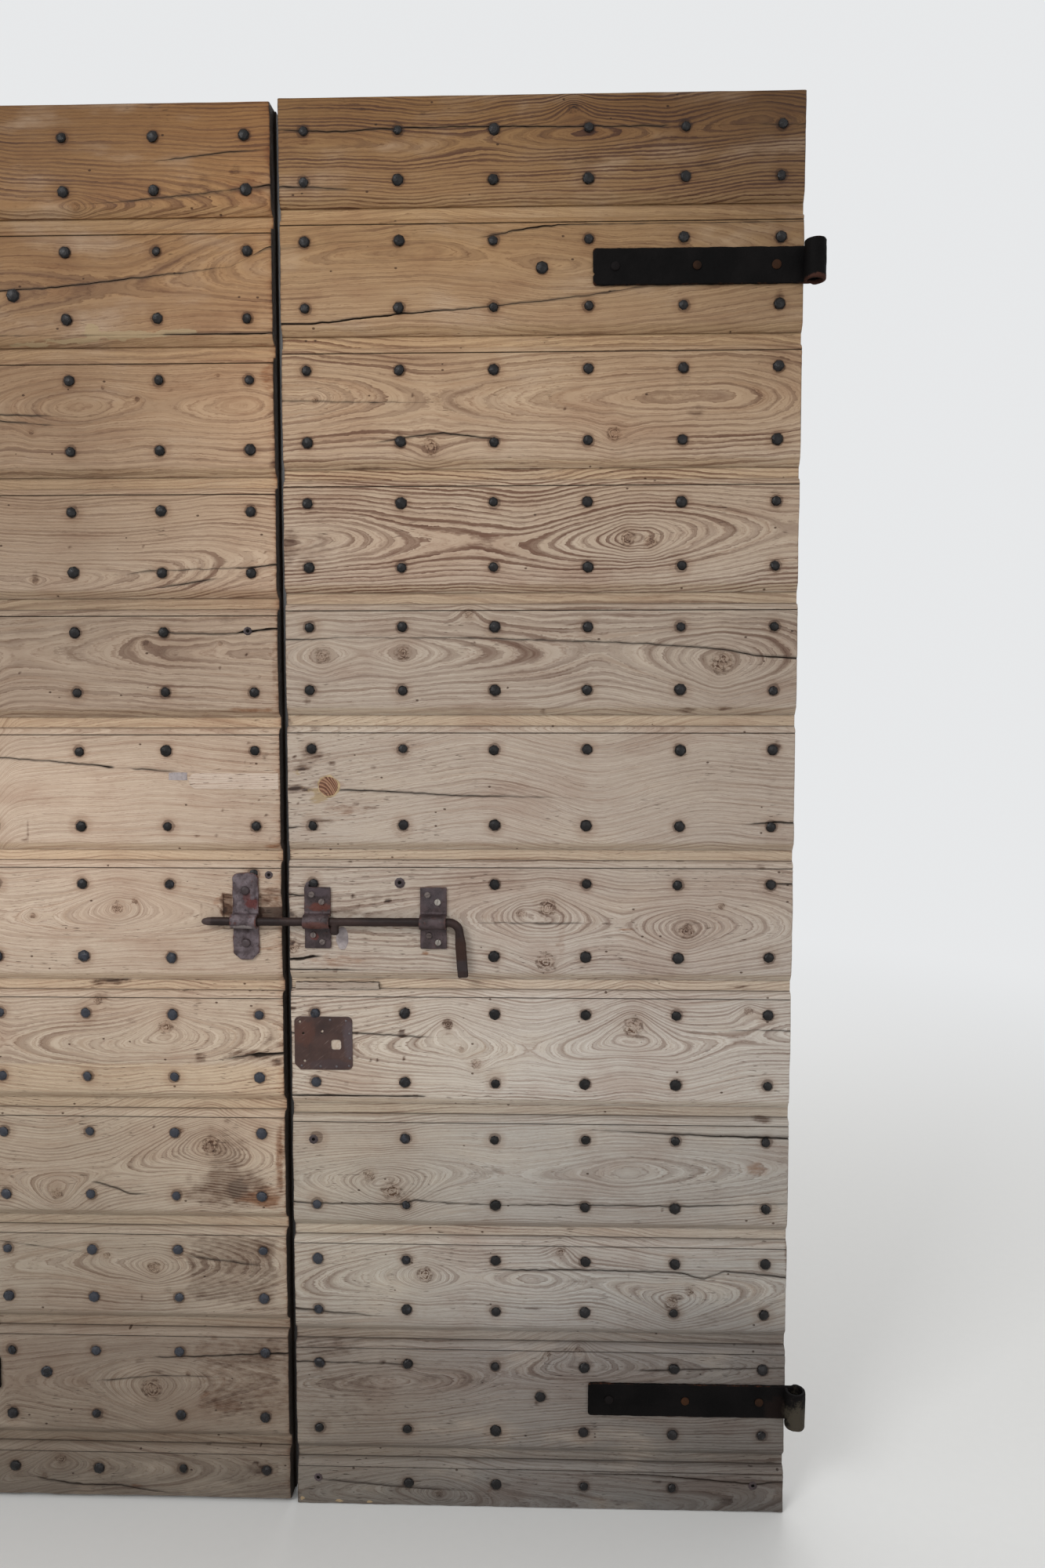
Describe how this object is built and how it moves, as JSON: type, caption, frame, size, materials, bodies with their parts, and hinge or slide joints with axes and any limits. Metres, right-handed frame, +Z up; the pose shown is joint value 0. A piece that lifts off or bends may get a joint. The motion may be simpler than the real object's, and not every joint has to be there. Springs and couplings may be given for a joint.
{
  "type": "barn door",
  "caption": "Old double-leaf barn door of profiled horizontal boards with forged nails, strap hinges, a sliding bolt and a patched lock place.",
  "frame": {"origin": "on the ground line under the middle of the door's bounding box", "axes": "+Z up along the leaves' height, the face with the nails and the bolt looks along -Y, +X to the right seen from the front, towards the leaf that carries the bolt"},
  "size_m": [1.564, 0.083, 2.1],
  "materials": {
    "board_pine": "planed softwood, weathered and stripped, open grain, satin to matt",
    "back_plank_pine": "rough softwood, matt",
    "patch_pine": "newer softwood let in as a repair, matt",
    "grey_filler": "hardened grey wood filler, matt",
    "strap_iron": "wrought iron, old black paint, rust at the edges",
    "nail_iron": "forged blue-black heads",
    "rivet_iron": "rusty hammered heads",
    "bolt_iron": "worn brown iron",
    "staple_iron": "pitted iron with purple-grey rust and red paint remains",
    "keeper_iron": "brown-violet rust",
    "screw_steel": "worn screw heads",
    "cover_plate_steel": "thin sheet, rubbed brown rust"
  },
  "bodies": {
    "door": {"right_board_01": "board_pine", "right_board_02": "board_pine", "right_board_03": "board_pine", "right_board_04": "board_pine", "right_board_05": "board_pine", "right_board_06": "board_pine", "right_board_07": "board_pine", "right_board_08": "board_pine", "right_board_09": "board_pine", "right_board_10": "board_pine", "right_board_11": "board_pine", "right_board_12": "board_pine", "left_board_01": "board_pine", "left_board_02": "board_pine", "left_board_03": "board_pine", "left_board_04": "board_pine", "left_board_05": "board_pine", "left_board_06": "board_pine", "left_board_07": "board_pine", "left_board_08": "board_pine", "left_board_09": "board_pine", "left_board_10": "board_pine", "left_board_11": "board_pine", "left_board_12": "board_pine", "right_back_plank_1": "back_plank_pine", "right_back_plank_2": "back_plank_pine", "right_back_plank_3": "back_plank_pine", "left_back_plank_1": "back_plank_pine", "left_back_plank_2": "back_plank_pine", "left_back_plank_3": "back_plank_pine", "right_upper_strap_hinge": "strap_iron", "right_lower_strap_hinge": "strap_iron", "left_upper_strap_hinge": "strap_iron", "left_lower_strap_hinge": "strap_iron", "right_face_nails": "nail_iron", "left_face_nails": "nail_iron", "right_hinge_rivets": "rivet_iron", "left_hinge_rivets": "rivet_iron", "bolt_staple": "staple_iron", "staple_rivets": "rivet_iron", "inner_keeper": "keeper_iron", "outer_keeper": "keeper_iron", "inner_keeper_screws": "screw_steel", "outer_keeper_screws": "screw_steel", "lock_cover_plate": "cover_plate_steel", "cover_plate_tacks": "screw_steel", "round_plug": "patch_pine", "oval_filler": "grey_filler", "dutchman_patch": "patch_pine", "grey_patch": "grey_filler", "band_strip": "patch_pine"},
    "bolt": {"bolt_rod": "bolt_iron"}
  },
  "joints": [
    {"name": "bolt_slide", "type": "slide", "parent": "door", "child": "bolt", "axis": [1, 0, 0], "range_m": [0, 0.119]}
  ]
}
